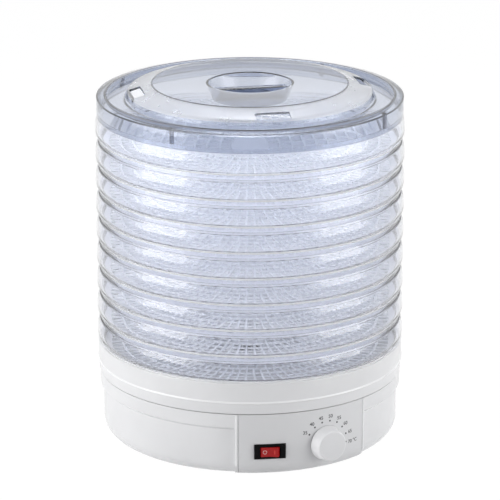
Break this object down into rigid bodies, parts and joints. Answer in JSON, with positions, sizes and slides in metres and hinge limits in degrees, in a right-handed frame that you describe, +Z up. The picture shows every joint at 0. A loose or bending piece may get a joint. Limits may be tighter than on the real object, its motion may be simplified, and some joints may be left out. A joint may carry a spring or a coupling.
{
  "type": "food dehydrator",
  "caption": "Round countertop food dehydrator: clear stacking trays with slotted floors under a clear vented lid, on a white base with fan, heater, rocker switch and thermostat knob",
  "frame": {"origin": "on the stack's axis, at the level of the surface that the feet stand on", "axes": "+Z up along the axis of the stack, -Y towards the control panel, +X to the right of someone facing the panel"},
  "size_m": [0.3332, 0.345, 0.3909],
  "materials": {
    "clear_plastic": "clear, slightly blue moulded plastic",
    "white_plastic": "smooth white moulded plastic",
    "panel_plastic": "satin pale grey plastic",
    "knob_plastic": "smooth pale grey plastic",
    "black_plastic": "smooth black plastic",
    "red_plastic": "smooth red plastic",
    "grey_rubber": "soft matt rubber",
    "sheet_metal": "plain sheet",
    "screw_steel": "bright steel",
    "laminated_steel": "stacked steel sheet",
    "heater_sheath": "dark heat-stained steel tube",
    "copper_wire": "lacquered copper winding",
    "bronze": "plain machined",
    "white_ceramic": "matt, heat resistant"
  },
  "bodies": {
    "base": {"base_cover": "white_plastic", "base_deck": "white_plastic", "base_housing": "white_plastic", "control_panel": "panel_plastic", "air_grille": "white_plastic", "fan_shroud": "sheet_metal", "heater_element": "heater_sheath", "heater_clips": "sheet_metal", "thermal_fuse": "white_ceramic", "motor_stator": "laminated_steel", "motor_winding": "copper_wire", "motor_spacers": "sheet_metal", "bracket_lower": "sheet_metal", "bracket_upper": "sheet_metal", "bearing_lower": "bronze", "bearing_upper": "bronze", "motor_screws": "screw_steel", "thermostat_body": "black_plastic", "thermostat_nut": "bronze", "switch_housing": "black_plastic", "switch_terminals": "bronze", "terminal_block": "white_ceramic", "terminal_screws": "bronze", "cord_gland": "grey_rubber", "feet": "grey_rubber", "case_screws": "screw_steel"},
    "fan": {"impeller": "black_plastic", "motor_shaft": "screw_steel", "motor_rotor": "laminated_steel"},
    "knob": {"temperature_knob": "knob_plastic", "thermostat_spindle": "screw_steel"},
    "rocker": {"switch_rocker": "red_plastic"},
    "tray_1": {"tray_1": "clear_plastic", "tray_floor_1": "clear_plastic"},
    "tray_2": {"tray_2": "clear_plastic", "tray_floor_2": "clear_plastic"},
    "tray_3": {"tray_3": "clear_plastic", "tray_floor_3": "clear_plastic"},
    "tray_4": {"tray_4": "clear_plastic", "tray_floor_4": "clear_plastic"},
    "tray_5": {"tray_5": "clear_plastic", "tray_floor_5": "clear_plastic"},
    "tray_6": {"tray_6": "clear_plastic", "tray_floor_6": "clear_plastic"},
    "tray_7": {"tray_7": "clear_plastic", "tray_floor_7": "clear_plastic"},
    "tray_8": {"tray_8": "clear_plastic", "tray_floor_8": "clear_plastic"},
    "tray_9": {"tray_9": "clear_plastic", "tray_floor_9": "clear_plastic"},
    "lid": {"lid": "clear_plastic"}
  },
  "joints": [
    {"name": "tray_1_lift", "type": "slide", "parent": "base", "child": "tray_1", "axis": [0, 0, 1], "range_m": [0, 0.045]},
    {"name": "tray_2_lift", "type": "slide", "parent": "tray_1", "child": "tray_2", "axis": [0, 0, 1], "range_m": [0, 0.045]},
    {"name": "tray_3_lift", "type": "slide", "parent": "tray_2", "child": "tray_3", "axis": [0, 0, 1], "range_m": [0, 0.045]},
    {"name": "tray_4_lift", "type": "slide", "parent": "tray_3", "child": "tray_4", "axis": [0, 0, 1], "range_m": [0, 0.045]},
    {"name": "tray_5_lift", "type": "slide", "parent": "tray_4", "child": "tray_5", "axis": [0, 0, 1], "range_m": [0, 0.045]},
    {"name": "tray_6_lift", "type": "slide", "parent": "tray_5", "child": "tray_6", "axis": [0, 0, 1], "range_m": [0, 0.045]},
    {"name": "tray_7_lift", "type": "slide", "parent": "tray_6", "child": "tray_7", "axis": [0, 0, 1], "range_m": [0, 0.045]},
    {"name": "tray_8_lift", "type": "slide", "parent": "tray_7", "child": "tray_8", "axis": [0, 0, 1], "range_m": [0, 0.045]},
    {"name": "tray_9_lift", "type": "slide", "parent": "tray_8", "child": "tray_9", "axis": [0, 0, 1], "range_m": [0, 0.045]},
    {"name": "lid_lift", "type": "slide", "parent": "tray_9", "child": "lid", "axis": [0, 0, 1], "range_m": [0, 0.045]},
    {"name": "knob_turn", "type": "hinge", "parent": "base", "child": "knob", "pos_m": [0.0238, -0.16317, 0.033], "axis": [-0.1444, 0.9895, 0], "range_deg": [0, 161]},
    {"name": "rocker_tilt", "type": "hinge", "parent": "base", "child": "rocker", "pos_m": [-0.03862, -0.15723, 0.0303], "axis": [0, 0, 1], "range_deg": [0, 16]},
    {"name": "fan_spin", "type": "hinge", "parent": "base", "child": "fan", "pos_m": [0, 0, 0.06], "axis": [0, 0, 1], "continuous": true}
  ]
}
